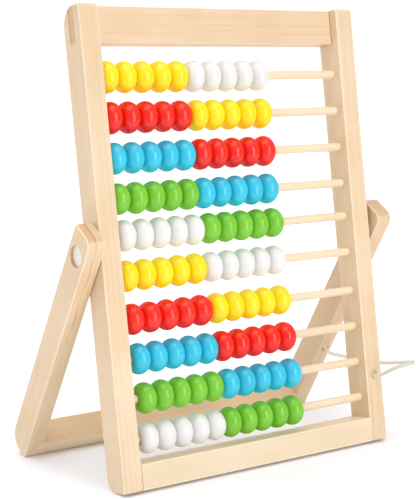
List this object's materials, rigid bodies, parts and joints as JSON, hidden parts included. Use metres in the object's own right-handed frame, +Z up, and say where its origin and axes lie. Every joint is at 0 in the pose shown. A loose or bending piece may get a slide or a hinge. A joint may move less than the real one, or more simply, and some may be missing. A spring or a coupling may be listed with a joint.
{
  "type": "abacus",
  "caption": "Wooden counting frame with lacquered beads sliding on rods, leaning on a folding U-shaped stand held by a short stay cord.",
  "frame": {"origin": "middle of the standing object's footprint, on the surface it stands on", "axes": "+X along the rods to the right as seen from the front, +Y to the back, +Z up"},
  "size_m": [0.2616, 0.1561, 0.3216],
  "materials": {
    "pale_wood": "sanded, clear matt lacquer",
    "rod_wood": "smooth dowel",
    "white_plastic": "smooth",
    "zinc_steel": "bright zinc",
    "cotton_cord": "twisted cotton",
    "yellow_lacquer": "glossy opaque lacquer over wood",
    "white_lacquer": "glossy opaque lacquer over wood",
    "red_lacquer": "glossy opaque lacquer over wood",
    "blue_lacquer": "glossy opaque lacquer over wood",
    "green_lacquer": "glossy opaque lacquer over wood"
  },
  "bodies": {
    "frame": {"left_post": "pale_wood", "right_post": "pale_wood", "top_rail": "pale_wood", "bottom_rail": "pale_wood", "bottom_rail_dowels": "rod_wood", "rod_01": "rod_wood", "rod_02": "rod_wood", "rod_03": "rod_wood", "rod_04": "rod_wood", "rod_05": "rod_wood", "rod_06": "rod_wood", "rod_07": "rod_wood", "rod_08": "rod_wood", "rod_09": "rod_wood", "rod_10": "rod_wood", "left_pivot_screw": "zinc_steel", "left_pivot_washer": "zinc_steel", "left_pivot_spacer": "white_plastic", "right_pivot_screw": "zinc_steel", "right_pivot_washer": "zinc_steel", "right_pivot_spacer": "white_plastic", "post_cord_peg": "rod_wood", "stay_cord": "cotton_cord"},
    "stand": {"left_leg": "pale_wood", "right_leg": "pale_wood", "foot_board": "pale_wood", "left_pivot_cap": "white_plastic", "right_pivot_cap": "white_plastic", "leg_cord_peg": "rod_wood"},
    "row_01_left_beads": {"row_01_left_beads": "yellow_lacquer"},
    "row_01_right_beads": {"row_01_right_beads": "white_lacquer"},
    "row_02_left_beads": {"row_02_left_beads": "red_lacquer"},
    "row_02_right_beads": {"row_02_right_beads": "yellow_lacquer"},
    "row_03_left_beads": {"row_03_left_beads": "blue_lacquer"},
    "row_03_right_beads": {"row_03_right_beads": "red_lacquer"},
    "row_04_left_beads": {"row_04_left_beads": "green_lacquer"},
    "row_04_right_beads": {"row_04_right_beads": "blue_lacquer"},
    "row_05_left_beads": {"row_05_left_beads": "white_lacquer"},
    "row_05_right_beads": {"row_05_right_beads": "green_lacquer"},
    "row_06_left_beads": {"row_06_left_beads": "yellow_lacquer"},
    "row_06_right_beads": {"row_06_right_beads": "white_lacquer"},
    "row_07_left_beads": {"row_07_left_beads": "red_lacquer"},
    "row_07_right_beads": {"row_07_right_beads": "yellow_lacquer"},
    "row_08_left_beads": {"row_08_left_beads": "blue_lacquer"},
    "row_08_right_beads": {"row_08_right_beads": "red_lacquer"},
    "row_09_left_beads": {"row_09_left_beads": "green_lacquer"},
    "row_09_right_beads": {"row_09_right_beads": "blue_lacquer"},
    "row_10_left_beads": {"row_10_left_beads": "white_lacquer"},
    "row_10_right_beads": {"row_10_right_beads": "green_lacquer"}
  },
  "joints": [
    {"name": "stand_fold", "type": "hinge", "parent": "frame", "child": "stand", "pos_m": [0, -0.03161, 0.15831], "axis": [1, 0, 0], "range_deg": [-40.5, 39], "deforming": ["stay_cord"]},
    {"name": "row_01_left_slide", "type": "slide", "parent": "frame", "child": "row_01_left_beads", "axis": [1, 0, 0], "range_m": [0, 0.032]},
    {"name": "row_01_right_slide", "type": "slide", "parent": "row_01_left_beads", "child": "row_01_right_beads", "axis": [1, 0, 0], "range_m": [0, 0.032]},
    {"name": "row_02_left_slide", "type": "slide", "parent": "frame", "child": "row_02_left_beads", "axis": [1, 0, 0], "range_m": [0, 0.032]},
    {"name": "row_02_right_slide", "type": "slide", "parent": "row_02_left_beads", "child": "row_02_right_beads", "axis": [1, 0, 0], "range_m": [0, 0.032]},
    {"name": "row_03_left_slide", "type": "slide", "parent": "frame", "child": "row_03_left_beads", "axis": [1, 0, 0], "range_m": [-0.0002, 0.0319]},
    {"name": "row_03_right_slide", "type": "slide", "parent": "row_03_left_beads", "child": "row_03_right_beads", "axis": [1, 0, 0], "range_m": [0, 0.0319]},
    {"name": "row_04_left_slide", "type": "slide", "parent": "frame", "child": "row_04_left_beads", "axis": [1, 0, 0], "range_m": [0, 0.032]},
    {"name": "row_04_right_slide", "type": "slide", "parent": "row_04_left_beads", "child": "row_04_right_beads", "axis": [1, 0, 0], "range_m": [0, 0.032]},
    {"name": "row_05_left_slide", "type": "slide", "parent": "frame", "child": "row_05_left_beads", "axis": [1, 0, 0], "range_m": [-0.002, 0.031]},
    {"name": "row_05_right_slide", "type": "slide", "parent": "row_05_left_beads", "child": "row_05_right_beads", "axis": [1, 0, 0], "range_m": [0, 0.031]},
    {"name": "row_06_left_slide", "type": "slide", "parent": "frame", "child": "row_06_left_beads", "axis": [1, 0, 0], "range_m": [-0.0008, 0.0316]},
    {"name": "row_06_right_slide", "type": "slide", "parent": "row_06_left_beads", "child": "row_06_right_beads", "axis": [1, 0, 0], "range_m": [0, 0.0316]},
    {"name": "row_07_left_slide", "type": "slide", "parent": "frame", "child": "row_07_left_beads", "axis": [1, 0, 0], "range_m": [-0.0022, 0.0309]},
    {"name": "row_07_right_slide", "type": "slide", "parent": "row_07_left_beads", "child": "row_07_right_beads", "axis": [1, 0, 0], "range_m": [0, 0.0309]},
    {"name": "row_08_left_slide", "type": "slide", "parent": "frame", "child": "row_08_left_beads", "axis": [1, 0, 0], "range_m": [-0.004, 0.03]},
    {"name": "row_08_right_slide", "type": "slide", "parent": "row_08_left_beads", "child": "row_08_right_beads", "axis": [1, 0, 0], "range_m": [0, 0.03]},
    {"name": "row_09_left_slide", "type": "slide", "parent": "frame", "child": "row_09_left_beads", "axis": [1, 0, 0], "range_m": [-0.006, 0.029]},
    {"name": "row_09_right_slide", "type": "slide", "parent": "row_09_left_beads", "child": "row_09_right_beads", "axis": [1, 0, 0], "range_m": [0, 0.029]},
    {"name": "row_10_left_slide", "type": "slide", "parent": "frame", "child": "row_10_left_beads", "axis": [1, 0, 0], "range_m": [-0.0048, 0.0296]},
    {"name": "row_10_right_slide", "type": "slide", "parent": "row_10_left_beads", "child": "row_10_right_beads", "axis": [1, 0, 0], "range_m": [0, 0.0296]}
  ]
}
